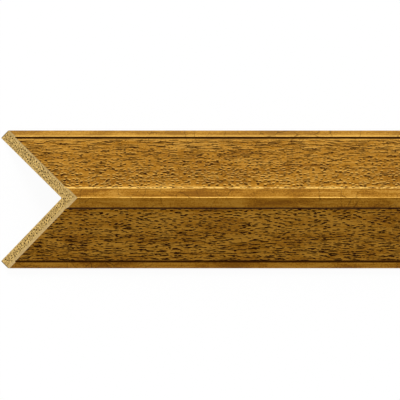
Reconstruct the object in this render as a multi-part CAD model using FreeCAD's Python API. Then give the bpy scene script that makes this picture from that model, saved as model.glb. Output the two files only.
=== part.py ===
import FreeCAD, Part
import math
import os

# Outside-corner panel moulding in foamed polystyrene: one extruded angle that caps a wall corner.
# Each leg carries a raised corner bead, a cove, a sunk panel, a quirk and an edge band.
# It lies on the back edges of its two legs with the ridge upwards. Length runs along X, height along Z,
# and the origin is on the floor in the middle of the length. All sizes are in millimetres and degrees.

# Stock
length = 2400.0
corner_angle = 90.0
leg_width = 54.0
wall = 6.2

# Corner bead beside the ridge
ridge_radius = 0.4
bead_width = 7.25
bead_arris = 0.5

# Cove between the bead and the panel: a long ramp off the bead, then a short lip up to the panel
cove_ramp = 2.25
cove_depth = 0.7
cove_radius = 0.5
lip_width = 1.5
lip_radius = 0.9

# Sunk panel and the quirk that closes it off from the edge band
panel_recess = 0.4
quirk_width = 0.9
quirk_depth = 1.0
quirk_radius = 0.2
quirk_arris = 0.3
band_width = 5.3

# Free edges and the back
edge_radius = 1.0
back_edge_radius = 0.4
back_corner_radius = 0.5

# Saw cuts: the near end is mitred, the far end is square
mitre_angle = 45.0
saw_clearance = 5.0

half_angle = math.radians(corner_angle / 2)
down_leg = FreeCAD.Vector(0, math.sin(half_angle), -math.cos(half_angle))
into_wall = FreeCAD.Vector(0, -math.cos(half_angle), -math.sin(half_angle))
# Height of the sharp outer corner that stands the rounded back edges on the floor
ridge_height = (
    (leg_width - back_edge_radius) * math.cos(half_angle)
    + (wall - back_edge_radius) * math.sin(half_angle)
    + back_edge_radius
)
near_end = -length / 2


def on_leg(along, depth):
    """The point of the right leg's section at a distance from the ridge and a depth under its face."""
    return FreeCAD.Vector(0, 0, ridge_height) + down_leg * along + into_wall * depth


def leg_corners():
    """The right leg's corners from the bead to the back edge, each with the radius that rounds it."""
    cove_foot = bead_width + cove_ramp
    panel_start = cove_foot + lip_width
    band_start = leg_width - band_width
    panel_end = band_start - quirk_width
    quirk_foot = (panel_end + band_start) / 2
    return [
        (on_leg(bead_width, 0), bead_arris),
        (on_leg(cove_foot, cove_depth), cove_radius),
        (on_leg(panel_start, panel_recess), lip_radius),
        (on_leg(panel_end, panel_recess), quirk_arris),
        (on_leg(quirk_foot, quirk_depth), quirk_radius),
        (on_leg(band_start, 0), quirk_arris),
        (on_leg(leg_width, 0), edge_radius),
        (on_leg(leg_width, wall), back_edge_radius),
    ]


def mirrored(corners):
    """The same corners on the left leg, in the order that closes the outline."""
    return [(FreeCAD.Vector(p.x, -p.y, p.z), radius) for p, radius in reversed(corners)]


def section_corners():
    """All corners of the section, once round: ridge, right leg, back corner, left leg."""
    right = leg_corners()
    ridge = (on_leg(0, 0), ridge_radius)
    back_corner = (on_leg(wall / math.tan(half_angle), wall), back_corner_radius)
    return [ridge] + right + [back_corner] + mirrored(right)


def rounding(before, corner, after, radius):
    """The start, middle and end of the arc that rounds a corner, kept within half of the shorter side."""
    to_before = before - corner
    to_after = after - corner
    room = min(to_before.Length, to_after.Length) / 2
    to_before.normalize()
    to_after.normalize()
    half_turn = to_before.getAngle(to_after) / 2
    setback = min(radius / math.tan(half_turn), room)
    fitted = setback * math.tan(half_turn)
    inwards = (to_before + to_after).normalize()
    middle = corner + inwards * (fitted / math.sin(half_turn) - fitted)
    return corner + to_before * setback, middle, corner + to_after * setback


def rounded_face(corners):
    """A flat face whose outline is straight runs joined by tangent arcs."""
    points = [p for p, _ in corners]
    arcs = []
    for i, (corner, radius) in enumerate(corners):
        arcs.append(rounding(points[i - 1], corner, points[(i + 1) % len(points)], radius))
    edges = []
    for i, (start, middle, end) in enumerate(arcs):
        next_start = arcs[(i + 1) % len(arcs)][0]
        edges.append(Part.Arc(start, middle, end).toShape())
        if end.distanceToPoint(next_start) > FreeCAD.Base.Precision.confusion():
            edges.append(Part.LineSegment(end, next_start).toShape())
    return Part.Face(Part.Wire(edges))


def mitre_waste():
    """The wedge that the saw takes off the near end, so that the ridge is cut back furthest."""
    reach = leg_width + saw_clearance
    top = ridge_height + saw_clearance
    slope = math.tan(math.radians(mitre_angle))
    outline = [
        FreeCAD.Vector(near_end - saw_clearance * slope, -reach, -saw_clearance),
        FreeCAD.Vector(near_end + top * slope, -reach, top),
        FreeCAD.Vector(near_end - saw_clearance * (1 + slope), -reach, top),
        FreeCAD.Vector(near_end - saw_clearance * (1 + slope), -reach, -saw_clearance),
    ]
    wedge = Part.Face(Part.makePolygon(outline + outline[:1]))
    return wedge.extrude(FreeCAD.Vector(0, 2 * reach, 0))


def corner_moulding():
    """The extruded section, mitred at the near end."""
    section = rounded_face(section_corners())
    section.translate(FreeCAD.Vector(near_end, 0, 0))
    return section.extrude(FreeCAD.Vector(length, 0, 0)).cut(mitre_waste())


os.makedirs("parts", exist_ok=True)
moulding = corner_moulding().Solids[0]
moulding.exportStep("parts/corner_moulding.step")
box = moulding.BoundBox
print("valid", moulding.isValid(), "volume mm3", round(moulding.Volume, 1), "faces", len(moulding.Faces))
print("box", [round(v, 3) for v in (box.XMin, box.XMax, box.YMin, box.YMax, box.ZMin, box.ZMax)])
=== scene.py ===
import bpy
import bmesh
import math
import random
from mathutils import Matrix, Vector, noise
from mathutils.geometry import delaunay_2d_cdt


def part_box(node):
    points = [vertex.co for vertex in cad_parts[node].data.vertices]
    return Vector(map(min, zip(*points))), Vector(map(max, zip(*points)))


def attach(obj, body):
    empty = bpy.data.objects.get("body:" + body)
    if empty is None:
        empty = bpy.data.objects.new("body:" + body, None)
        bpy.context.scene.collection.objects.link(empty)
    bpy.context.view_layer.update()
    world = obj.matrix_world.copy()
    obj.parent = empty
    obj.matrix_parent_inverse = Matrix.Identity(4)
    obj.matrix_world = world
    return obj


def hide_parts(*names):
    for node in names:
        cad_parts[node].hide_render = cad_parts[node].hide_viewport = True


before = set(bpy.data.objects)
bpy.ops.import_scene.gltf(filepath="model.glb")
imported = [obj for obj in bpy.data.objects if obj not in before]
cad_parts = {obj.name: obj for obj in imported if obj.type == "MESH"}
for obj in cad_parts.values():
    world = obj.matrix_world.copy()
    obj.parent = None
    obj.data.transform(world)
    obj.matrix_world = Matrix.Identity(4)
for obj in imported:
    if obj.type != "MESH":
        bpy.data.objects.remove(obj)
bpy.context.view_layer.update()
low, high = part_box("corner_moulding")
mm = 0.001
slant = math.sqrt(0.5)  # the legs and the mitre stand at 45 degrees
print("frame loaded, stock is", round(high[0] - low[0], 3), "m long")


# the bar, in millimetres: one leg is shaped lying flat with its face up, then tilted, mirrored and mitred
bar = {
    "legWidth": 54,
    "wall": 6.2,
    "ridgeHeight": 42.401,  # sharp corner, before it is rounded
    "pieces": 40,  # lengthwise divisions
    "recess": 0.4,  # sunk panel
    "panel": (11.5, 47),  # the middle of the panel's face lies between these
    # lines along the face: distance from the ridge, depth under the face, bevel width, segments
    "section": [
        (7.25, 0, 0.08, 2),  # edge of the bead
        (9.5, 0.7, 0.13, 3),  # bottom of the cove
        (11.0, 0.4, 0.1, 3),  # panel, ridge side
        (47.8, 0.4, 0.15, 2),  # panel, edge side
        (48.25, 1.0, 0.34, 3),  # bottom of the quirk
        (48.7, 0, 0.19, 3),  # edge of the band
    ],
    # other corners: bevel width, segments
    "ridge": (0.4, 6),
    "faceEdge": (1.0, 5),
    "backEdge": (0.4, 3),
    "backCorner": (0.5, 3),
    "found": 0.02,  # a line this close is the one that is meant
    "level": 0.01,  # the panel's face is this close to its depth
    "weld": 0.01,  # the legs are merged within this
    "seam": 0.004,  # and the pitted sheets within this
    "smooth": 28,  # degrees
}


def deselectAll():
    if bpy.context.mode != "OBJECT":
        bpy.ops.object.mode_set(mode="OBJECT")
    bpy.ops.object.select_all(action="DESELECT")


def pickEdges(obj, test):
    # selects the long edges whose middle passes the test
    bpy.ops.mesh.select_all(action="DESELECT")
    bm = bmesh.from_edit_mesh(obj.data)
    for e in bm.edges:
        run = e.verts[1].co - e.verts[0].co
        e.select = abs(run.x) > 0.9 * run.length and test((e.verts[0].co + e.verts[1].co) / 2)
    bm.select_flush_mode()
    bmesh.update_edit_mesh(obj.data)


def pickFaces(obj, test):
    bpy.ops.mesh.select_all(action="DESELECT")
    bm = bmesh.from_edit_mesh(obj.data)
    for f in bm.faces:
        f.select = test(f)
    bm.select_flush_mode()
    bmesh.update_edit_mesh(obj.data)


def legPlace(p):
    # millimetres from the ridge and under the face, whichever leg the point is on
    drop = bar["ridgeHeight"] - p[2] / mm
    return (abs(p[1]) / mm + drop) * slant, (drop - abs(p[1]) / mm) * slant


def onLeg(x, along, depth, side):
    # the point in the frame for a place in millimetres on the leg at side 1 or -1
    return Vector((x, side * (along - depth) * slant, bar["ridgeHeight"] - (along + depth) * slant)) * mm


def makeBar():
    deselectAll()
    wide, wall = bar["legWidth"], bar["wall"]
    bpy.ops.mesh.primitive_cube_add(size=1, location=(0, wide / 2 * mm, -wall / 2 * mm))
    obj = bpy.context.object
    obj.name = "moulding"
    obj.scale = (high[0] - low[0], wide * mm, wall * mm)
    bpy.ops.object.transform_apply(location=True, rotation=True, scale=True)
    bpy.ops.object.mode_set(mode="EDIT")
    bpy.ops.mesh.select_mode(type="FACE")
    pickFaces(obj, lambda f: abs(f.normal.x) > 0.9)  # the ends are sawn later
    bpy.ops.mesh.delete(type="FACE")

    # section lines along the face, then each line pressed to its depth
    for along, *_ in bar["section"]:
        pickFaces(obj, lambda f: f.normal.z > 0.9)
        bpy.ops.mesh.bisect(plane_co=(0, along * mm, 0), plane_no=(0, 1, 0))
    bpy.ops.mesh.select_mode(type="EDGE")
    for along, depth, *_ in bar["section"]:
        pickEdges(obj, lambda p: abs(p.y - along * mm) < 1e-6 and p.z > -1e-6)
        bpy.ops.transform.translate(value=(0, 0, -depth * mm))

    # the two legs meet on a 45 degree joint under the ridge
    bpy.ops.mesh.select_all(action="SELECT")
    bpy.ops.mesh.bisect(plane_co=(0, 0, 0), plane_no=(0, 1, 1), clear_inner=True)
    bpy.ops.mesh.select_all(action="SELECT")
    bpy.ops.transform.rotate(value=math.radians(45), orient_axis="X", center_override=(0, 0, 0))
    bpy.ops.transform.translate(value=(0, 0, bar["ridgeHeight"] * mm))
    bpy.ops.object.mode_set(mode="OBJECT")
    mirror = obj.modifiers.new("otherLeg", "MIRROR")
    mirror.use_axis = (False, True, False)
    mirror.merge_threshold = bar["weld"] * mm
    bpy.ops.object.modifier_apply(modifier=mirror.name)

    # every long corner gets its own rounding
    bpy.ops.object.mode_set(mode="EDIT")
    corners = [(0, 0, *bar["ridge"]), *bar["section"], (wide, 0, *bar["faceEdge"])]
    corners += [(wide, wall, *bar["backEdge"]), (wall, wall, *bar["backCorner"])]
    for along, depth, width, segments in corners:
        pickEdges(obj, lambda p: (Vector(legPlace(p)) - Vector((along, depth))).length < bar["found"])
        bpy.ops.mesh.bevel(offset=width * mm, segments=segments, affect="EDGES", clamp_overlap=False)
    pickEdges(obj, lambda p: True)
    bpy.ops.mesh.subdivide(number_cuts=bar["pieces"] - 1)

    # saw cut through the near end
    bpy.ops.mesh.select_all(action="SELECT")
    bpy.ops.mesh.bisect(plane_co=(low[0], 0, 0), plane_no=(1, 0, -1), clear_inner=True, threshold=1e-6)
    bpy.ops.mesh.select_all(action="SELECT")
    bpy.ops.mesh.normals_make_consistent(inside=False)
    bpy.ops.object.mode_set(mode="OBJECT")
    return obj


moulding = makeBar()
print("bar", len(moulding.data.polygons), "faces")


# sheets with pits in them: triangles between an outline and many small hollows
def insideOnly(faces, placed, outline):
    # drops the triangles that fill a notch outside the outline
    walls = {frozenset((placed[a], placed[b])) for a, b in outline}
    sides = {}
    for n, f in enumerate(faces):
        for i in range(3):
            sides.setdefault(frozenset((f[i - 1], f[i])), []).append(n)
    todo = [owners[0] for edge, owners in sides.items() if len(owners) == 1 and edge not in walls]
    outside = set(todo)
    while todo:
        f = faces[todo.pop()]
        for i in range(3):
            edge = frozenset((f[i - 1], f[i]))
            if edge in walls:
                continue
            for n in sides[edge]:
                if n not in outside:
                    outside.add(n)
                    todo.append(n)
    return [f for n, f in enumerate(faces) if n not in outside]


def pitSheet(name, outline, pits, place):
    # outline is pairs of points, a pit is its rim points with heights and its floor points with heights
    spots = {}
    points, heights, hollow, edges = [], [], [], []
    for pair in outline:
        ends = []
        for p in pair:
            key = (round(p[0], 5), round(p[1], 5))
            if key not in spots:
                spots[key] = len(points)
                points.append(Vector(p))
                heights.append(0)
                hollow.append(0)
            ends.append(spots[key])
        edges.append(ends)
    for rim, floor in pits:
        first = len(points)
        for p, h in rim:
            points.append(Vector(p))
            heights.append(h)
            hollow.append(0)
        edges += [(first + i, first + (i + 1) % len(rim)) for i in range(len(rim))]
        for p, h in floor:
            points.append(Vector(p))
            heights.append(h)
            hollow.append(1)
    flat, _, faces, ids, _, _ = delaunay_2d_cdt(points, edges, [], 1, 1e-6, True)
    source = [i[0] if i else None for i in ids]
    faces = insideOnly(faces, {i: n for n, i in enumerate(source)}, edges[:len(outline)])
    mesh = bpy.data.meshes.new(name)
    pressed = [place(p, 0 if i is None else heights[i]) for p, i in zip(flat, source)]
    mesh.from_pydata(pressed, [], faces)
    pit = mesh.attributes.new("pit", "FLOAT", "POINT")
    pit.data.foreach_set("value", [0 if i is None else hollow[i] for i in source])
    obj = bpy.data.objects.new(name, mesh)
    bpy.context.scene.collection.objects.link(obj)
    print(name, len(pits), "pits", len(faces), "triangles")
    return obj


def edgesOf(obj, test):
    # the outline of the faces that pass the test
    bm = bmesh.new()
    bm.from_mesh(obj.data)
    pairs = []
    for e in bm.edges:
        if sum(test(f) for f in e.link_faces) == 1:
            pairs.append([v.co.copy() for v in e.verts])
    bm.free()
    return pairs


def openEdges(obj, test):
    # the outline of an open end, by the middles of its edges
    bm = bmesh.new()
    bm.from_mesh(obj.data)
    pairs = []
    for e in bm.edges:
        if e.is_boundary and test((e.verts[0].co + e.verts[1].co) / 2):
            pairs.append([v.co.copy() for v in e.verts])
    bm.free()
    return pairs


# grain pressed into the panels: short wavy pores by the ridge, long straight ones by the edge
# side 1 is the upper leg and -1 the lower, and sizes are in millimetres
grain = {
    "lane": 1.1,  # from row to row across the panel
    "laneVaries": (0.95, 1.05),
    "start": {1: 0.55, -1: 0.9},  # first row from the panel's edge
    "clear": {1: 1.7, -1: 0.8},  # plain strip along the quirk
    "shortLength": {1: 1.9, -1: 2.2},  # by the ridge
    "longLength": {1: 6.1, -1: 6.8},  # by the edge
    "lengthens": 1.2,  # above 1, the long ones come later
    "spread": 0.58,
    "least": 1.5,
    "most": 13,
    "gap": {1: (11.4, 7.4), -1: (12.6, 6.8)},  # from pore to pore by the ridge and by the edge
    "gapVaries": (0.35, 1.65),
    "leastGap": 0.35,
    "firstGap": (0.8, 4),  # from the mitre
    "lastGap": 0.5,  # to the square end
    "crowd": (0.45, 1.1),  # gaps are scaled by the first, and in patches by up to the second more
    "crowdPatch": (14, 5),  # along, across
    "crowdLayer": {1: 43.1, -1: 36.9},
    "halfWidth": (0.23, 0.35),
    "slimmer": 0.28,  # share of it that is lost by the edge
    "blunt": (0.5, 0.75),  # share of the length that is wide
    "bends": 6.5,  # pores longer than this have points in their middle
    "trench": 3,  # and longer than this have a floor of more than one point
    "ragged": (0.75, 1),
    "depth": (0.75, 1.2),  # in half widths
    "wander": 0.2,  # of the floor, in half widths
    "lip": 0.09,  # raised rim on the +Y side
    "drift": 0.85,  # how far a row sways
    "straighter": 0.55,  # share of it that is lost by the edge
    "driftPatch": (24, 12),
    "driftLayer": {1: 7.7, -1: -7.7},
    "hold": 3,  # rows are straight along the panel's edges
    "seeds": {1: 11, -1: 29},
}


def panelPores(side, first, last):
    rng = random.Random(grain["seeds"][side])
    short, long = grain["shortLength"][side], grain["longLength"][side]
    nearGap, farGap = grain["gap"][side]
    wander = grain["wander"]

    def patches(x, s, size, layer):
        return noise.noise(Vector((x / size[0], s / size[1], layer)))

    def drift(x, s):
        t = (s - first) / (last - first)
        hold = min(1, (s - first) / grain["hold"], (last - s) / grain["hold"])
        sway = grain["drift"] * (1 - grain["straighter"] * t) * hold
        return s + sway * patches(x, s, grain["driftPatch"], grain["driftLayer"][side])

    def pore(x, s, t, length):
        half = rng.uniform(*grain["halfWidth"]) * (1 - grain["slimmer"] * t)
        blunt = rng.uniform(*grain["blunt"])
        stops = [0.5 - blunt / 2, 0.5 + blunt / 2]
        if length > grain["bends"]:
            stops.insert(1, 0.5)

        def spot(q, off):
            return (x + q * length, drift(x + q * length, s) + off)

        def aside():
            return side * half * rng.uniform(*grain["ragged"])

        rim = [(spot(0, 0), 0)]
        rim += [(spot(q, aside()), grain["lip"] * rng.random()) for q in stops]
        rim += [(spot(1, 0), 0)]
        rim += [(spot(q, -aside()), 0) for q in reversed(stops)]
        deep = -half * rng.uniform(*grain["depth"])
        if length <= grain["trench"]:
            stops = [0.5]
        return rim, [(spot(q, half * rng.uniform(-wander, wander)), deep) for q in stops]

    pores = []
    s = first + grain["start"][side]
    while s < last - grain["clear"][side]:
        t = (s - first) / (last - first)
        middle = short + (long - short) * t ** grain["lengthens"]
        gap = nearGap + (farGap - nearGap) * t
        sawn = low[0] / mm + bar["ridgeHeight"] - (s + bar["recess"]) * slant
        x = sawn + rng.uniform(*grain["firstGap"])
        while True:
            length = middle * math.exp(rng.gauss(0, grain["spread"]))
            length = min(max(length, grain["least"]), grain["most"])
            if x + length > high[0] / mm - grain["lastGap"]:
                break
            pores.append(pore(x, s, t, length))
            patch = 0.5 + patches(x, s, grain["crowdPatch"], grain["crowdLayer"][side])
            crowd = grain["crowd"][0] + grain["crowd"][1] * patch
            x += length + gap * crowd * rng.uniform(*grain["gapVaries"]) + grain["leastGap"]
        s += grain["lane"] * rng.uniform(*grain["laneVaries"])
    return pores


# foam cells opened by the saw
foam = {
    "count": 380,
    "tries": 6,  # for each cell
    "radius": (0.32, 0.68),
    "ragged": (0.75, 1.1),  # in radii
    "corners": (5, 6, 6, 7),
    "firstCorner": (0, 6.28),  # radians
    "fullTurn": 6.2832,
    "rimHeight": (-0.02, 0.05),
    "depth": (0.6, 1.1),  # in radii
    "wander": 0.2,  # of the floor, in radii
    "apart": 1.1,
    "between": 0.12,
    # plain borders of the sawn face
    "fromRidge": 1.8,
    "fromEdge": 0.9,
    "fromBack": 0.25,
    "fromJoint": 0.05,
    "nearLine": 1.5,  # section lines this close count
    "dense": {1: 0.45, -1: 1.3},  # layer with no open cells under the face
    "seeds": {"mitre": 5, "square end": 6},
}


def faceDepth(s):
    # depth of the deepest section line near a place on the leg
    lines = [depth for along, depth, *_ in bar["section"] if abs(along - s) < foam["nearLine"]]
    return max(lines + [bar["recess"]])


def sawnCells(seed, stretch):
    # stretch is how much longer the sawn face is than the section is high
    rng = random.Random(seed)
    wander = foam["wander"]
    cells, centres = [], []
    for _ in range(foam["count"] * foam["tries"]):
        if len(cells) == foam["count"]:
            break
        side = rng.choice((1, -1))
        r = rng.uniform(*foam["radius"])
        reach = foam["ragged"][1] * r
        s = rng.uniform(foam["fromRidge"], bar["legWidth"] - foam["fromEdge"] - r)
        shallow = faceDepth(s) + foam["dense"][side] + reach
        d = rng.uniform(shallow, bar["wall"] - foam["fromBack"] - reach)
        if s < d + foam["fromJoint"]:
            continue
        p = onLeg(0, s, d, side) / mm
        c = Vector((p.y, p.z * stretch))
        if any((o - c).length < foam["apart"] * (w + r) for o, w in centres):
            continue
        centres.append((c, r + foam["between"]))
        turn = rng.uniform(*foam["firstCorner"])
        corners = rng.choice(foam["corners"])
        rim = []
        for i in range(corners):
            a = turn + i * foam["fullTurn"] / corners
            off = Vector((math.cos(a), math.sin(a))) * r * rng.uniform(*foam["ragged"])
            rim.append((tuple(c + off), rng.uniform(*foam["rimHeight"])))
        off = Vector((rng.uniform(-wander, wander), rng.uniform(-wander, wander))) * r
        floor = [(tuple(c + off), -r * rng.uniform(*foam["depth"]))]
        cells.append((rim, floor))
    return cells


def isPanel(f, side):
    s, d = legPlace(f.calc_center_median())
    if f.normal.y * side <= 0.5 or f.normal.z <= 0.5:
        return False
    return abs(d - bar["recess"]) < bar["level"] and bar["panel"][0] < s < bar["panel"][1]


def pressDetail(obj):
    sheets = []
    for side in (1, -1):
        def onPanel(p, height):
            return onLeg(p[0], p[1], bar["recess"] - height, side)

        outline = edgesOf(obj, lambda f: isPanel(f, side))
        flat = [[(p.x / mm, legPlace(p)[0]) for p in pair] for pair in outline]
        across = [p[1] for pair in flat for p in pair]
        pores = panelPores(side, min(across), max(across))
        sheets.append(pitSheet("panel", flat, pores, onPanel))

    out = Vector((-slant, 0, slant))

    def onMitre(p, height):
        rise = p[1] * slant
        return (Vector((low[0] / mm + rise, p[0], rise)) + out * height) * mm

    def onSquare(p, height):
        return Vector((high[0] / mm + min(height, 0), p[0], p[1])) * mm

    near = openEdges(obj, lambda p: p.x < 0)
    flat = [[(p.y / mm, p.z / mm / slant) for p in pair] for pair in near]
    sheets.append(pitSheet("mitre", flat, sawnCells(foam["seeds"]["mitre"], 1 / slant), onMitre))
    far = openEdges(obj, lambda p: p.x > 0)
    flat = [[(p.y / mm, p.z / mm) for p in pair] for pair in far]
    sheets.append(pitSheet("square end", flat, sawnCells(foam["seeds"]["square end"], 1), onSquare))
    return sheets


sheets = pressDetail(moulding)


# shader helpers
def addNode(tree, kind, inputs=None, **settings):
    node = tree.nodes.new("ShaderNode" + kind)
    for name, value in settings.items():
        setattr(node, name, value)
    for name, value in (inputs or {}).items():
        if isinstance(value, bpy.types.NodeSocket):
            tree.links.new(value, node.inputs[name])
        else:
            node.inputs[name].default_value = value
    return node


def useGroup(tree, group, inputs=None):
    return addNode(tree, "Group", inputs, node_tree=group).outputs


def sums(tree, operation, a, b=0.0):
    return addNode(tree, "Math", {0: a, 1: b}, operation=operation).outputs[0]


def shift(tree, operation, a, b):
    return addNode(tree, "VectorMath", {0: a, 1: b}, operation=operation).outputs[0]


def fade(tree, value, start, end):
    # soft step from 0 at start to 1 at end
    ends = {"Value": value, "From Min": start, "From Max": end}
    return addNode(tree, "MapRange", ends, interpolation_type="SMOOTHSTEP").outputs[0]


def tint(tree, amount, under, over, how="MIX"):
    return addNode(tree, "Mix", {0: amount, 6: under, 7: over}, data_type="RGBA", blend_type=how).outputs[2]


def blend(tree, amount, under, over):
    return addNode(tree, "Mix", {0: amount, 2: under, 3: over}, data_type="FLOAT").outputs[0]


def only(tree, value, start, end, soft):
    # 1 from start to end, with soft ends
    return sums(tree, "MULTIPLY", fade(tree, value, start - soft, start), fade(tree, value, end + soft, end))


def waves(tree, flat, perMm, detail=3.0, rough=0.55, distort=0.0):
    # noise with its own number of waves per millimetre along, across and into the leg
    spot = shift(tree, "MULTIPLY", flat, perMm)
    shape = {"Vector": spot, "Scale": 1.0, "Detail": detail, "Roughness": rough, "Distortion": distort}
    return addNode(tree, "TexNoise", shape).outputs[0]


def pitMask(tree, edge):
    # 1 in the floors of the modelled pits
    return fade(tree, addNode(tree, "Attribute", attribute_name="pit").outputs["Fac"], *edge)


def newGroup(name, ins, outs):
    tree = bpy.data.node_groups.new(name, "ShaderNodeTree")
    for direction, names in (("INPUT", ins), ("OUTPUT", outs)):
        for socket, kind in names.items():
            tree.interface.new_socket(socket, in_out=direction, socket_type="NodeSocket" + kind)
    return tree, tree.nodes.new("NodeGroupInput").outputs, tree.nodes.new("NodeGroupOutput").inputs


def newMaterial(name):
    material = bpy.data.materials.new(name)
    material.use_nodes = True
    return material, material.node_tree, material.node_tree.nodes["Principled BSDF"]


# where a point lies on its leg, in millimetres
def placeGroup():
    found = {"Flat": "Vector", "Along": "Float", "Depth": "Float", "Upper": "Float"}
    tree, _, outs = newGroup("placeOnLeg", {}, found)
    spot = shift(tree, "MULTIPLY", addNode(tree, "TexCoord").outputs["Object"], (1000, 1000, 1000))
    xyz = addNode(tree, "SeparateXYZ", {0: spot}).outputs
    out = sums(tree, "ABSOLUTE", xyz["Y"])
    drop = sums(tree, "SUBTRACT", bar["ridgeHeight"], xyz["Z"])
    along = sums(tree, "MULTIPLY", sums(tree, "ADD", out, drop), slant)
    depth = sums(tree, "MULTIPLY", sums(tree, "SUBTRACT", drop, out), slant)
    signed = sums(tree, "MULTIPLY", along, sums(tree, "SIGN", xyz["Y"]))
    flat = addNode(tree, "CombineXYZ", {"X": xyz["X"], "Y": signed, "Z": depth}).outputs[0]
    upper = sums(tree, "GREATER_THAN", xyz["Y"], 0.0)
    for name, value in zip(found, (flat, along, depth, upper)):
        tree.links.new(value, outs[name])
    return tree


# rubbed gold with streaks along the stock, soft brown clouds and flecks
goldGrain = {
    # waves per millimetre along, across and into the leg
    "streaks": (0.016, 0.8, 0.5),
    "clouds": (0.04, 0.11, 0.1),
    "mottle": (0.5, 0.9, 0.6),
    "speck": (1.3, 1.5, 1.2),
    "streaky": 0.55,
    "specky": 1.5,  # beside the mottle
    "level": 0.23,
    # tone at which a shade begins, and at which it is full
    "brown": (0.52, 0.36),
    "light": (0.50, 0.66),
}


def goldGroup():
    strengths = {"Dull": "Float", "Clouds": "Float", "Fleck": "Float"}
    shades = {"Brown": "Color", "Gold": "Color", "Light": "Color"}
    made = {"Color": "Color", "Tone": "Float"}
    tree, ins, outs = newGroup("rubbedGold", {"Flat": "Vector", **strengths, **shades}, made)
    flat = ins["Flat"]
    streaks = waves(tree, flat, goldGrain["streaks"], detail=4, rough=0.6, distort=0.3)
    clouds = waves(tree, flat, goldGrain["clouds"], distort=0.6)
    clouds = sums(tree, "SUBTRACT", clouds, 0.5)
    mottle = waves(tree, flat, goldGrain["mottle"], rough=0.65)
    speck = sums(tree, "MULTIPLY", waves(tree, flat, goldGrain["speck"], detail=2), goldGrain["specky"])
    fleck = sums(tree, "SUBTRACT", sums(tree, "ADD", mottle, speck), (1 + goldGrain["specky"]) / 2)
    tone = sums(tree, "ADD", sums(tree, "MULTIPLY", streaks, goldGrain["streaky"]), goldGrain["level"])
    tone = sums(tree, "ADD", tone, sums(tree, "MULTIPLY", clouds, ins["Clouds"]))
    tone = sums(tree, "ADD", tone, sums(tree, "MULTIPLY", fleck, ins["Fleck"]))
    tone = sums(tree, "SUBTRACT", tone, ins["Dull"])
    color = tint(tree, fade(tree, tone, *goldGrain["brown"]), ins["Gold"], ins["Brown"])
    color = tint(tree, fade(tree, tone, *goldGrain["light"]), color, ins["Light"])
    tree.links.new(color, outs["Color"])
    tree.links.new(tone, outs["Tone"])
    return tree


# dark wax left in the quirk, the lower leg's ramp darkened, and painted highlights along the upper leg's
# ridge, ramp, edge and strips
waxAndHighlightZones = {
    # waves per millimetre
    "uneven": (0.14, 0.6, 0.6),
    "slow": (0.03, 0.1, 0.1),
    "broken": (0.28, 0.3, 0.3),
    "wander": 0.7,  # how far the wax's border wanders, in millimetres
    # millimetres from the ridge where a border begins, and where it is full
    "quirkNear": (46.7, 47.6),
    "quirkFar": (48.62, 48.5),
    "rampNear": (7.15, 7.5),
    "rampFar": (9.6, 8.7),
    "ridge": (0.75, 0.4),
    "edgeNear": (48.5, 48.65),
    "edgeFar": (50.4, 49.4),
    "strip": (45.6, 46.8, 0.4),  # from, to, softness
    "band": (49.0, 50.0),
    # the lower leg's borders lie this much nearer the edge, and its ramp's darkening ends sooner
    "lowerNear": 0.95,
    "lowerFar": 0.45,
    "lowerRamp": 0.2,
    # noise at which the painted highlight lines break off, and at which they are whole
    "ridgeBreaks": (-0.06, 0.3),
    "ridgeUneven": 0.25,
    "lipBreaks": (0.38, 0.52),
    "lipSlow": 0.5,
    # strengths
    "lowerQuirk": 0.97,
    # painted highlights on the upper leg: ridge, ramp, edge, strip and band
    "ridgeHighlight": 0.75,
    "lipHighlight": 0.97,
    "edgeHighlight": 0.38,
    "stripHighlight": 0.15,
    "bandHighlight": 0.09,
}


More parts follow.
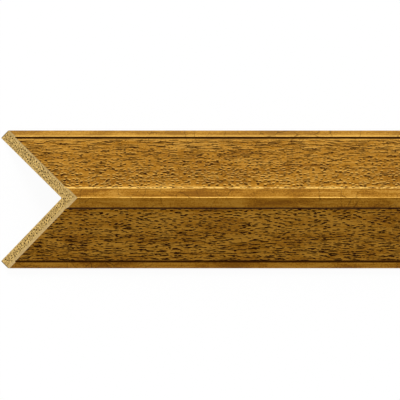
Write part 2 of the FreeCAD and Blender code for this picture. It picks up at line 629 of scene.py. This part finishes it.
def waxAndHighlightGroup():
    takes = {"Flat": "Vector", "Along": "Float", "Upper": "Float"}
    tree, ins, outs = newGroup("waxAndPaintedHighlight", takes, {"Wax": "Float", "Highlight": "Float"})
    flat, along, upper = ins["Flat"], ins["Along"], ins["Upper"]
    zones = waxAndHighlightZones

    def times(a, b):
        return sums(tree, "MULTIPLY", a, b)

    uneven = waves(tree, flat, zones["uneven"])
    slow = sums(tree, "SUBTRACT", waves(tree, flat, zones["slow"], detail=1), 0.5)
    wavy = sums(tree, "ADD", along, times(sums(tree, "SUBTRACT", uneven, 0.5), zones["wander"]))
    lower = sums(tree, "SUBTRACT", 1.0, upper)

    # wax in the quirk, and the lower leg's ramp darkened
    toRidge = sums(tree, "SUBTRACT", wavy, times(lower, zones["lowerNear"]))
    toEdge = sums(tree, "SUBTRACT", along, times(lower, zones["lowerFar"]))
    quirk = times(fade(tree, toRidge, *zones["quirkNear"]), fade(tree, toEdge, *zones["quirkFar"]))
    quirk = times(quirk, blend(tree, upper, zones["lowerQuirk"], 1.0))
    rampEnd = sums(tree, "ADD", wavy, times(lower, zones["lowerRamp"]))
    ramp = times(fade(tree, along, *zones["rampNear"]), fade(tree, rampEnd, *zones["rampFar"]))
    wax = sums(tree, "MAXIMUM", quirk, times(ramp, lower))

    # painted highlights on the ridge, the ramp, the edge and the strips, on the upper leg alone, which faces
    # the light
    whole = sums(tree, "ADD", slow, times(uneven, zones["ridgeUneven"]))
    ridge = times(fade(tree, along, *zones["ridge"]), fade(tree, whole, *zones["ridgeBreaks"]))
    broken = sums(tree, "ADD", waves(tree, flat, zones["broken"]), times(slow, zones["lipSlow"]))
    lip = times(ramp, times(fade(tree, broken, *zones["lipBreaks"]), zones["lipHighlight"]))
    edge = times(fade(tree, toEdge, *zones["edgeNear"]), fade(tree, wavy, *zones["edgeFar"]))
    highlight = sums(tree, "MAXIMUM", times(ridge, zones["ridgeHighlight"]), lip)
    highlight = sums(tree, "MAXIMUM", highlight, times(edge, zones["edgeHighlight"]))
    highlight = sums(tree, "MAXIMUM", highlight, times(only(tree, along, *zones["strip"]), zones["stripHighlight"]))
    highlight = sums(tree, "MAXIMUM", highlight, times(fade(tree, along, *zones["band"]), zones["bandHighlight"]))
    tree.links.new(wax, outs["Wax"])
    tree.links.new(times(highlight, upper), outs["Highlight"])
    return tree


# hair cracks in the varnish
crackLook = {
    "bendWaves": 0.12,  # per millimetre
    "bend": (6, 6, 0),  # millimetres
    "fields": (0.09, 0.06, 0.0),  # per millimetre
    "width": (0.018, 0.006),  # share of a field
    "patches": (0.03, 0.09, 0.1),  # waves per millimetre
    "cracked": (0.43, 0.53),  # noise at which cracks begin, and are full
}


def crackGroup():
    tree, ins, outs = newGroup("hairCracks", {"Flat": "Vector"}, {"Crack": "Float"})
    wave = {"Vector": ins["Flat"], "Scale": crackLook["bendWaves"], "Detail": 3.0}
    bend = shift(tree, "MULTIPLY", addNode(tree, "TexNoise", wave).outputs["Color"], crackLook["bend"])
    spot = shift(tree, "MULTIPLY", shift(tree, "ADD", ins["Flat"], bend), crackLook["fields"])
    field = addNode(tree, "TexVoronoi", {"Vector": spot, "Scale": 1.0}, feature="DISTANCE_TO_EDGE")
    line = fade(tree, field.outputs["Distance"], *crackLook["width"])
    some = fade(tree, waves(tree, ins["Flat"], crackLook["patches"], detail=2), *crackLook["cracked"])
    tree.links.new(sums(tree, "MULTIPLY", line, some), outs["Crack"])
    return tree


# fine pores between the modelled ones, with a painted highlight on the rim beside each
finePore = {
    # lower leg, upper leg
    "longFrom": (14.0, 22.0),  # millimetres from the ridge where long dashes begin
    "longFull": (38.0, 46.0),
    "shortPerMm": (0.37, 0.46),
    "longPerMm": (0.16, 0.13),
    "shortFilled": (0.70, 0.57),  # share of the cells that hold a dash
    "longFilled": (0.60, 0.78),
    "shortShrinks": (0.1, 0.2),  # by the edge
    # strength of the painted highlight on the rims
    "rim": (0.3, 1.0),
    # both legs
    "longShrinks": 0.25,  # by the ridge
    "shortLanes": 0.64,  # rows per millimetre
    "longLanes": 0.66,
    "shortThin": 1.8,
    "longThin": 1.85,
    "slowSway": (0.05, 0.07, 0.1),  # waves per millimetre
    "slowSwayBy": 4.0,  # millimetres
    "sway": (0.22, 0.25, 0.2),
    "ragged": (1.0, 1.4, 1.0),
    "raggedBy": 0.16,
    "fillSoft": 0.12,
    "uneven": 0.1,
    "emptied": 0.5,
    "dashEdge": (0.57, 0.50),
    # where the painted highlight sits beside a dash, and how it fades toward the edge
    "highlightOffset": (0, 0.8, 0),  # millimetres
    "highlightFades": (12.0, 32.0),  # millimetres from the ridge
    "farHighlight": 0.4,
}


def poreGroup():
    takes = {"Flat": "Vector", "Along": "Float", "Upper": "Float"}
    tree, ins, outs = newGroup("finePores", takes, {"Pore": "Float", "RimHighlight": "Float"})
    flat, along = ins["Flat"], ins["Along"]

    def byLeg(name):
        return blend(tree, ins["Upper"], *finePore[name])

    far = fade(tree, along, byLeg("longFrom"), byLeg("longFull"))
    near = sums(tree, "SUBTRACT", 1.0, far)
    sway = waves(tree, flat, finePore["slowSway"], detail=2)
    sway = sums(tree, "MULTIPLY", sway, finePore["slowSwayBy"])
    sway = sums(tree, "ADD", sway, waves(tree, flat, finePore["sway"], detail=2))
    ragged = sums(tree, "MULTIPLY", waves(tree, flat, finePore["ragged"], detail=1), finePore["raggedBy"])
    spot = shift(tree, "ADD", flat, addNode(tree, "CombineXYZ", {"Y": sway}).outputs[0])

    def dashes(spot, perMm, lanes, thin, filled):
        # each cell holds one thin dash, and some cells none
        spot = shift(tree, "MULTIPLY", spot, addNode(tree, "CombineXYZ", {"X": perMm, "Y": lanes}).outputs[0])
        cell = addNode(tree, "TexVoronoi", {"Vector": spot, "Scale": 1.0}, voronoi_dimensions="2D").outputs
        off = shift(tree, "MULTIPLY", shift(tree, "SUBTRACT", spot, cell["Position"]), (1, thin, 0))
        reach = addNode(tree, "VectorMath", {0: off}, operation="LENGTH").outputs["Value"]
        chance = addNode(tree, "SeparateColor", {0: cell["Color"]}).outputs[0]
        empty = fade(tree, chance, filled, sums(tree, "ADD", filled, finePore["fillSoft"]))
        reach = sums(tree, "ADD", reach, sums(tree, "MULTIPLY", chance, finePore["uneven"]))
        return sums(tree, "ADD", reach, sums(tree, "MULTIPLY", empty, finePore["emptied"]))

    def layer(spot):
        lanes, thin = finePore["shortLanes"], finePore["shortThin"]
        short = dashes(spot, byLeg("shortPerMm"), lanes, thin, byLeg("shortFilled"))
        short = sums(tree, "ADD", short, sums(tree, "MULTIPLY", far, byLeg("shortShrinks")))
        lanes, thin = finePore["longLanes"], finePore["longThin"]
        long = dashes(spot, byLeg("longPerMm"), lanes, thin, byLeg("longFilled"))
        long = sums(tree, "ADD", long, sums(tree, "MULTIPLY", near, finePore["longShrinks"]))
        reach = sums(tree, "ADD", sums(tree, "MINIMUM", short, long), ragged)
        return fade(tree, reach, *finePore["dashEdge"])

    pore = layer(spot)
    # painted highlight beside each dash, from a copy of the dashes moved across
    beyond = layer(shift(tree, "SUBTRACT", spot, finePore["highlightOffset"]))
    rim = sums(tree, "MULTIPLY", beyond, sums(tree, "SUBTRACT", 1.0, pore))
    outward = fade(tree, along, *finePore["highlightFades"])
    rim = sums(tree, "MULTIPLY", rim, blend(tree, outward, 1.0, finePore["farHighlight"]))
    tree.links.new(pore, outs["Pore"])
    tree.links.new(sums(tree, "MULTIPLY", rim, byLeg("rim")), outs["RimHighlight"])
    return tree


placeOnLeg = placeGroup()
rubbedGold = goldGroup()
waxAndPaintedHighlight = waxAndHighlightGroup()
hairCracks = crackGroup()
finePores = poreGroup()
print("finish effects made")


# aged gold of the face
goldLook = {
    "Brown": (0.212, 0.084, 0.0075, 1),
    "Gold": (0.335, 0.146, 0.0115, 1),
    "Light": (0.44, 0.218, 0.032, 1),
    "wax": (0.026, 0.0055, 0.0006, 1),
    # painted highlight colour, on the upper leg's corners and the pores' rims
    "highlight": (0.87, 0.53, 0.12, 1),
    # painted shade: the lower leg, which faces away from the light, is dimmed and warmed
    "deep": (0.92, 0.87, 0.58, 1),  # tint of the lower leg
    "metal": 0.4,
    "gloss": 0.015,
    "rough": 0.34,
    # what the tone, the painted highlights and the dark marks add to it
    "toneRough": 0.14,
    "highlightRough": 0.06,
    "darkRough": 0.25,
    # millimetres from the ridge where the grain begins and ends
    "grainNear": (7.6, 8.0),
    "grainFar": (48.1, 47.7),
    "upperFar": 2.0,  # it ends this much sooner on the upper leg
    # how dull the panels are, and where
    "lowerMiddle": (13.0, 44.0, 4.0),
    "lowerDull": (0.005, -0.085),
    "upperRun": (14.0, 44.0),
    "upperDull": (0.035, -0.015),
    "besideLip": (8.5, 12.5),
    "lipDull": -0.05,
    "clouds": 1.0,  # on the plain strips
    "panelClouds": (0.75, 0.45),  # on the lower and the upper panel
    # plain strips, then panels
    "fleck": (0.5, 0.26),
    "cracks": (1.0, 0.6),
    "tooth": (0.06, 0.15),
    "toothWaves": (0.9, 2.2, 2.0),  # per millimetre
    "pores": (1.0, 0.9),  # strength of the fine ones on the lower and upper leg
    "rimHighlights": 0.42,
    "crackDark": 0.5,
    "crackDeep": 0.2,
    "pitEdge": (0.03, 0.4),
    "bump": 0.6,
    "relief": 0.22,  # millimetres
}


def goldMaterial(name):
    look = goldLook
    material, tree, shader = newMaterial(name)
    where = useGroup(tree, placeOnLeg)
    flat, along, upper = where["Flat"], where["Along"], where["Upper"]
    spot = {"Flat": flat, "Along": along, "Upper": upper}
    waxAndHighlight = useGroup(tree, waxAndPaintedHighlight, spot)
    found = useGroup(tree, finePores, spot)
    crack = useGroup(tree, hairCracks, {"Flat": flat})["Crack"]

    # the panels' share of the surface, and its tone
    toQuirk = sums(tree, "ADD", along, sums(tree, "MULTIPLY", upper, look["upperFar"]))
    grainy = fade(tree, along, *look["grainNear"])
    grainy = sums(tree, "MULTIPLY", grainy, fade(tree, toQuirk, *look["grainFar"]))
    lowerDull = blend(tree, only(tree, along, *look["lowerMiddle"]), *look["lowerDull"])
    upperDull = blend(tree, fade(tree, along, *look["upperRun"]), *look["upperDull"])
    upperDull = blend(tree, fade(tree, along, *look["besideLip"]), look["lipDull"], upperDull)
    strength = {
        "Dull": sums(tree, "MULTIPLY", grainy, blend(tree, upper, lowerDull, upperDull)),
        "Clouds": blend(tree, grainy, look["clouds"], blend(tree, upper, *look["panelClouds"])),
        "Fleck": blend(tree, grainy, *look["fleck"]),
    }
    shades = {k: look[k] for k in ("Brown", "Gold", "Light")}
    tone = useGroup(tree, rubbedGold, {"Flat": flat, **strength, **shades})

    # dark marks, and painted highlights on the pores' rims
    fine = sums(tree, "MULTIPLY", found["Pore"], grainy)
    rimHighlights = sums(tree, "MULTIPLY", sums(tree, "MULTIPLY", found["RimHighlight"], grainy), look["rimHighlights"])
    crack = sums(tree, "MULTIPLY", crack, blend(tree, grainy, *look["cracks"]))
    marks = sums(tree, "MULTIPLY", fine, blend(tree, upper, *look["pores"]))
    marks = sums(tree, "MAXIMUM", pitMask(tree, look["pitEdge"]), marks)
    marks = sums(tree, "MAXIMUM", marks, sums(tree, "MULTIPLY", crack, look["crackDark"]))
    dark = sums(tree, "MAXIMUM", marks, waxAndHighlight["Wax"])
    # painted highlights brighten the upper leg's corners and the pores' rims
    color = tint(tree, sums(tree, "MAXIMUM", waxAndHighlight["Highlight"], rimHighlights), tone["Color"], look["highlight"])
    # painted shade dims and warms the lower leg
    color = tint(tree, sums(tree, "SUBTRACT", 1.0, upper), color, look["deep"], how="MULTIPLY")
    color = tint(tree, dark, color, look["wax"])
    rough = sums(tree, "ADD", look["rough"], sums(tree, "MULTIPLY", tone["Tone"], look["toneRough"]))
    rough = sums(tree, "ADD", rough, sums(tree, "MULTIPLY", waxAndHighlight["Highlight"], look["highlightRough"]))
    rough = sums(tree, "ADD", rough, sums(tree, "MULTIPLY", dark, look["darkRough"]))

    # relief
    height = waves(tree, flat, look["toothWaves"])
    height = sums(tree, "MULTIPLY", height, blend(tree, grainy, *look["tooth"]))
    height = sums(tree, "ADD", sums(tree, "SUBTRACT", height, fine), rimHighlights)
    height = sums(tree, "SUBTRACT", height, sums(tree, "MULTIPLY", crack, look["crackDeep"]))
    relief = {"Height": height, "Strength": look["bump"], "Distance": look["relief"] * mm}
    bump = addNode(tree, "Bump", relief)

    shader.inputs["Metallic"].default_value = look["metal"]
    shader.inputs["Specular IOR Level"].default_value = look["gloss"]
    tree.links.new(color, shader.inputs["Base Color"])
    tree.links.new(rough, shader.inputs["Roughness"])
    tree.links.new(bump.outputs[0], shader.inputs["Normal"])
    return material


# foam: bare on the sawn ends, skinned over on the back
foamLook = {
    "sawn": {
        "Pale": (0.71, 0.474, 0.153, 1),
        "Tan": (0.36, 0.229, 0.069, 1),
        "PerMm": 1.0,  # beads
        "rough": 0.8,
        "bump": 0.6,
    },
    "skin": {
        "Pale": (0.46, 0.315, 0.115, 1),
        "Tan": (0.395, 0.262, 0.09, 1),
        "PerMm": 0.8,
        "rough": 0.55,
        "bump": 0.15,
    },
    "beads": 0.6,
    "grit": 0.6,
    "gritScale": 1.7,
    "tanFrom": (0.41, 0.71),
    "gloss": 0.12,
    "relief": 0.15,  # millimetres
    "skinDepth": 0.3,  # faces this near the back are skin
    # painted shade in the floors of the open cells
    "cell": (0.035, 0.019, 0.005, 1),
    "cellShadeEdge": (0.02, 0.35),
    # denser layer under the face, in millimetres, and its strength on the lower and upper leg
    "dense": (0.50, 0.35, 0.146, 1),
    "denseUnder": (2.1, 1.3),
    "upperThinner": 0.8,
    "densely": (0.65, 0.55),
    "sunk": (9.6, 48.0, 0.4),  # the face lies deeper from, to, softness
    # film of finish along the face, on the lower and upper leg
    "film": (0.50, 0.38, 0.235, 1),
    "darkFilm": (0.13, 0.085, 0.045, 1),
    "filmUnder": (0.5, 0.2),
    "filmed": 0.35,
    "tip": (0.10, 0.070, 0.028, 1),
    "tipWidth": (0.7, 0.2),  # from the end of the leg
    "tipped": 0.7,
}


def foamGroup():
    takes = {"Flat": "Vector", "Pale": "Color", "Tan": "Color", "PerMm": "Float"}
    tree, ins, outs = newGroup("foamGrain", takes, {"Color": "Color", "Height": "Float"})
    scaled = {0: ins["Flat"], "Scale": ins["PerMm"]}
    spot = addNode(tree, "VectorMath", scaled, operation="SCALE").outputs[0]
    beads = addNode(tree, "TexVoronoi", {"Vector": spot, "Scale": 1.0}).outputs["Distance"]
    wave = {"Vector": spot, "Scale": foamLook["gritScale"], "Detail": 3.0}
    grit = sums(tree, "MULTIPLY", addNode(tree, "TexNoise", wave).outputs[0], foamLook["grit"])
    body = sums(tree, "ADD", sums(tree, "MULTIPLY", beads, foamLook["beads"]), grit)
    color = tint(tree, fade(tree, body, *foamLook["tanFrom"]), ins["Pale"], ins["Tan"])
    tree.links.new(color, outs["Color"])
    tree.links.new(sums(tree, "SUBTRACT", 1.0, body), outs["Height"])
    return tree


foamGrain = foamGroup()


def sawnTint(tree, where, color, height):
    # dense layer, painted shade in the open cells, film of finish and dark tips of a sawn end
    look, along, upper = foamLook, where["Along"], where["Upper"]
    sunk = sums(tree, "MULTIPLY", only(tree, along, *look["sunk"]), bar["recess"])
    under = sums(tree, "SUBTRACT", where["Depth"], sunk)
    reach = sums(tree, "ADD", under, sums(tree, "MULTIPLY", upper, look["upperThinner"]))
    dense = fade(tree, reach, *look["denseUnder"])
    dense = sums(tree, "MULTIPLY", dense, blend(tree, upper, *look["densely"]))
    color = tint(tree, dense, color, look["dense"])
    height = sums(tree, "MULTIPLY", height, sums(tree, "SUBTRACT", 1.0, dense))
    # painted shade darkens the floors of the open cells
    color = tint(tree, pitMask(tree, look["cellShadeEdge"]), color, look["cell"])
    film = tint(tree, upper, look["film"], look["darkFilm"])
    filmed = sums(tree, "MULTIPLY", fade(tree, under, *look["filmUnder"]), look["filmed"])
    color = tint(tree, filmed, color, film)
    tip = fade(tree, along, *(bar["legWidth"] - inside for inside in look["tipWidth"]))
    color = tint(tree, sums(tree, "MULTIPLY", tip, look["tipped"]), color, look["tip"])
    return color, height


def foamMaterial(name, kind):
    look = foamLook[kind]
    material, tree, shader = newMaterial(name)
    where = useGroup(tree, placeOnLeg)
    shades = {k: look[k] for k in ("Pale", "Tan", "PerMm")}
    found = useGroup(tree, foamGrain, {"Flat": where["Flat"], **shades})
    color, height = found["Color"], found["Height"]
    if kind == "sawn":
        color, height = sawnTint(tree, where, color, height)
    relief = {"Height": height, "Strength": look["bump"], "Distance": foamLook["relief"] * mm}
    bump = addNode(tree, "Bump", relief)
    shader.inputs["Roughness"].default_value = look["rough"]
    shader.inputs["Specular IOR Level"].default_value = foamLook["gloss"]
    tree.links.new(color, shader.inputs["Base Color"])
    tree.links.new(bump.outputs[0], shader.inputs["Normal"])
    return material


agedGold = goldMaterial("agedGold")
sawnFoam = foamMaterial("sawnFoam", "sawn")
foamSkin = foamMaterial("foamSkin", "skin")
print("materials mixed")


def dress(obj, sheets):
    obj.data.attributes.new("pit", "FLOAT", "POINT")
    obj.data.materials.append(agedGold)
    obj.data.materials.append(foamSkin)
    for f in obj.data.polygons:
        if legPlace(f.center)[1] > bar["wall"] - foamLook["skinDepth"]:
            f.material_index = 1
    for s in sheets:
        s.data.materials.append(agedGold if s.name.startswith("panel") else sawnFoam)


dress(moulding, sheets)
print("dressed")


def joinSheets(obj, sheets):
    # the flat panels give way to the pitted sheets, and the sheets close the ends
    deselectAll()
    bpy.context.view_layer.objects.active = obj
    obj.select_set(True)
    bpy.ops.object.mode_set(mode="EDIT")
    bpy.ops.mesh.select_mode(type="FACE")
    pickFaces(obj, lambda f: isPanel(f, 1) or isPanel(f, -1))
    bpy.ops.mesh.delete(type="FACE")
    bpy.ops.object.mode_set(mode="OBJECT")
    for s in sheets:
        s.select_set(True)
    bpy.ops.object.join()
    bpy.ops.object.mode_set(mode="EDIT")
    bpy.ops.mesh.select_all(action="SELECT")
    bpy.ops.mesh.remove_doubles(threshold=bar["seam"] * mm)
    bpy.ops.mesh.normals_make_consistent(inside=False)
    bpy.ops.object.mode_set(mode="OBJECT")
    bpy.ops.object.shade_smooth_by_angle(angle=math.radians(bar["smooth"]))


def reportPiece(obj):
    bm = bmesh.new()
    bm.from_mesh(obj.data)
    print(obj.name, len(bm.verts), "vertices", sum(len(f.verts) - 2 for f in bm.faces), "triangles")
    print("open edges", sum(not e.is_manifold for e in bm.edges))
    print("volume", round(bm.calc_volume(signed=True) / mm ** 3, 1), "cubic mm")
    bm.free()


joinSheets(moulding, sheets)
reportPiece(moulding)


# bake map: the length folded in three rows, with the sawn ends in a column beside them
bakeMap = {
    "rows": (-1200, -420, 420, 1200),  # millimetres along the stock
    "spare": 10,  # left free at both ends of a row
    "rowsWide": 0.88,
    "pixels": 1024,
    # first pixel in a row, half the width in millimetres, millimetres to a pixel
    "face": (3, 60.3, 0.40),
    "back": (309, 49, 3.4),
    "turnsAt": 52.9,  # from here the map also runs down the edge
    "backMiddle": 6.346,  # middle of the back's rounded corner
    "backFlat": 7,  # past this the back is flat
    # sawn ends: left side and width of the column, size of the section, starts and height of the two
    "column": (0.89, 0.105),
    "halfWide": 37.8,
    "tall": 42.3,
    "endRows": (0.66, 0.33),
    "endTall": 0.32,
}


def makeMap(obj):
    mesh = obj.data
    for layer in list(mesh.uv_layers):
        mesh.uv_layers.remove(layer)
    uv = mesh.uv_layers.new(name="OFBake")
    rows, spare = bakeMap["rows"], bakeMap["spare"]
    longest = max(b - a for a, b in zip(rows, rows[1:])) + 2 * spare
    apex = bar["ridge"][0] * (math.sqrt(2) - 1) * slant
    spots = []
    for v in mesh.vertices:
        s, d = legPlace(v.co)
        spots.append((v.co.x / mm, v.co.y / mm, v.co.z / mm, s, d, 1 if v.co.y > 0 else -1))

    def onEnd(y, z, middle):
        left, width = bakeMap["column"]
        across = (y + bakeMap["halfWide"]) / (2 * bakeMap["halfWide"])
        start = bakeMap["endRows"][0 if middle < 0 else 1]
        return left + z / bakeMap["tall"] * width, start + across * bakeMap["endTall"]

    def onRow(x, q, row, part):
        first, half, perPixel = bakeMap[part]
        u = (x - rows[row] + spare) / longest * bakeMap["rowsWide"]
        return u, row / 3 + (first + (q + half) / perPixel) / bakeMap["pixels"]

    for f in mesh.polygons:
        kind = mesh.materials[f.material_index].name
        middle = f.center.x / mm
        row = 0 if middle < rows[1] else 1 if middle < rows[2] else 2
        for loop in f.loop_indices:
            x, y, z, s, d, side = spots[mesh.loops[loop].vertex_index]
            if kind == "sawnFoam":
                uv.data[loop].uv = onEnd(y, z, middle)
            elif kind == "foamSkin":
                down = side * max(s - bakeMap["backMiddle"] + bar["wall"] - d, 0)
                uv.data[loop].uv = onRow(x, down if s > bakeMap["backFlat"] else y, row, "back")
            else:
                down = side * max(s - apex + (d if s > bakeMap["turnsAt"] else 0), 0)
                uv.data[loop].uv = onRow(x, down, row, "face")


makeMap(moulding)
print("bake map made")
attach(moulding, "root")
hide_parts("corner_moulding")


# stage: white floor, soft room light and one sun from the upper side of the picture
stage = {
    "floorSize": 60,
    "floorColor": (0.86, 0.86, 0.86, 1),
    "floorRough": 0.9,
    "floorGlow": 0.95,  # share of plain white where the floor is seen
    "room": (0.61, 0.91),  # from the lower and the upper side
    "sun": 1.91,
    "sunLean": -42,
    "sunWide": 20,
}


def makeFloor():
    deselectAll()
    bpy.ops.mesh.primitive_plane_add(size=stage["floorSize"])
    floor = bpy.context.object
    floor.name = "floor"
    white, tree, shader = newMaterial("paleFloor")
    shader.inputs["Base Color"].default_value = stage["floorColor"]
    shader.inputs["Roughness"].default_value = stage["floorRough"]
    ray = addNode(tree, "LightPath").outputs
    seen = sums(tree, "MAXIMUM", ray["Is Glossy Ray"], ray["Is Transmission Ray"])
    seen = sums(tree, "MAXIMUM", ray["Is Camera Ray"], seen)
    seen = sums(tree, "MULTIPLY", seen, stage["floorGlow"])
    glow = addNode(tree, "Emission", {"Color": (1, 1, 1, 1), "Strength": 1.0}).outputs[0]
    mixed = addNode(tree, "MixShader", {0: seen, 1: shader.outputs[0], 2: glow}).outputs[0]
    tree.links.new(mixed, tree.nodes["Material Output"].inputs["Surface"])
    floor.data.materials.append(white)


def makeLight():
    world = bpy.data.worlds.new("studio")
    world.use_nodes = True
    tree = world.node_tree
    toward = addNode(tree, "TexCoord").outputs["Generated"]
    toward = addNode(tree, "SeparateXYZ", {0: toward}).outputs["Y"]
    level = {"Value": toward, "From Min": -1.0, "From Max": 1.0}
    level.update({"To Min": stage["room"][0], "To Max": stage["room"][1]})
    tree.links.new(addNode(tree, "MapRange", level).outputs[0], tree.nodes["Background"].inputs["Strength"])
    tree.nodes["Background"].inputs["Color"].default_value = (1, 1, 1, 1)
    bpy.context.scene.world = world

    bpy.ops.object.light_add(type="SUN", rotation=(math.radians(stage["sunLean"]), 0, 0))
    key = bpy.context.object
    key.name = "keyLight"
    key.data.energy = stage["sun"]
    key.data.angle = math.radians(stage["sunWide"])


makeFloor()
makeLight()
print("stage set")


# camera almost straight above the mitred end
view = {
    "lens": 600,
    "sensor": 36,
    "acrossFrame": 218.8 * mm,
    "centre": (-1091.1 * mm, -0.48 * mm, 10 * mm),
    "lean": (1.35, 0.25),  # degrees
    "sees": 100,  # metres
}


def makeCamera():
    camData = bpy.data.cameras.new("camera")
    camData.lens = view["lens"]
    camData.sensor_width = view["sensor"]
    camData.clip_end = view["sees"]
    camera = bpy.data.objects.new("camera", camData)
    bpy.context.scene.collection.objects.link(camera)
    reach = view["acrossFrame"] * view["lens"] / view["sensor"]
    camera.rotation_euler = (math.radians(view["lean"][0]), -math.radians(view["lean"][1]), 0)
    camera.location = Vector(view["centre"]) + camera.rotation_euler.to_matrix() @ Vector((0, 0, reach))
    bpy.context.scene.camera = camera
    bpy.context.scene.view_settings.view_transform = "Standard"
    print("camera", round(reach, 2), "m above")


makeCamera()
